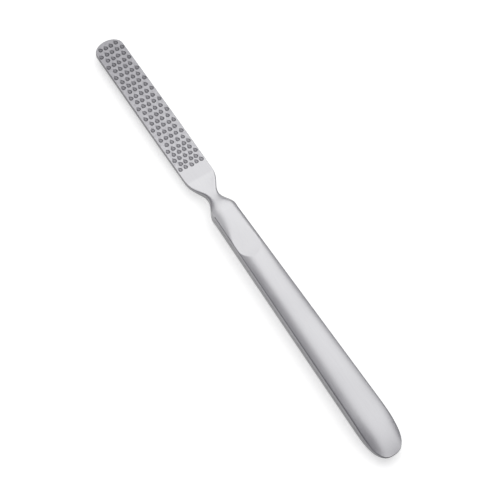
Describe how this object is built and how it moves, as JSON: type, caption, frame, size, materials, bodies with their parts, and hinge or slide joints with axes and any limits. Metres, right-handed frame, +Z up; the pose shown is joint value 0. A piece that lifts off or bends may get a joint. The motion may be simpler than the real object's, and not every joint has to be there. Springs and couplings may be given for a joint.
{
  "type": "nail file",
  "caption": "Slim all-metal nail rasp: a flat blade with punched teeth and a round tip, a narrow neck, and a hollow pillow-shaped handle with a thumb flat.",
  "frame": {"origin": "under the middle of the tool's length, on the plane that the handle rests on", "axes": "+X along the tool from the blade's tip to the handle's round end, +Z up out of the toothed face, Y across the tool"},
  "size_m": [0.175, 0.0118, 0.0066],
  "materials": {
    "rasp_steel": "fine satin, ground flat, with a darker field between the punched teeth",
    "satin_steel": "satin, evenly brushed",
    "weld_steel": "ground flush, satin",
    "braze_alloy": "as brazed, hidden inside the handle"
  },
  "bodies": {
    "root": {"rasp_blade": "rasp_steel", "tang_braze": "braze_alloy", "handle_upper_shell": "satin_steel", "handle_lower_shell": "satin_steel", "seam_weld": "weld_steel"}
  },
  "joints": []
}
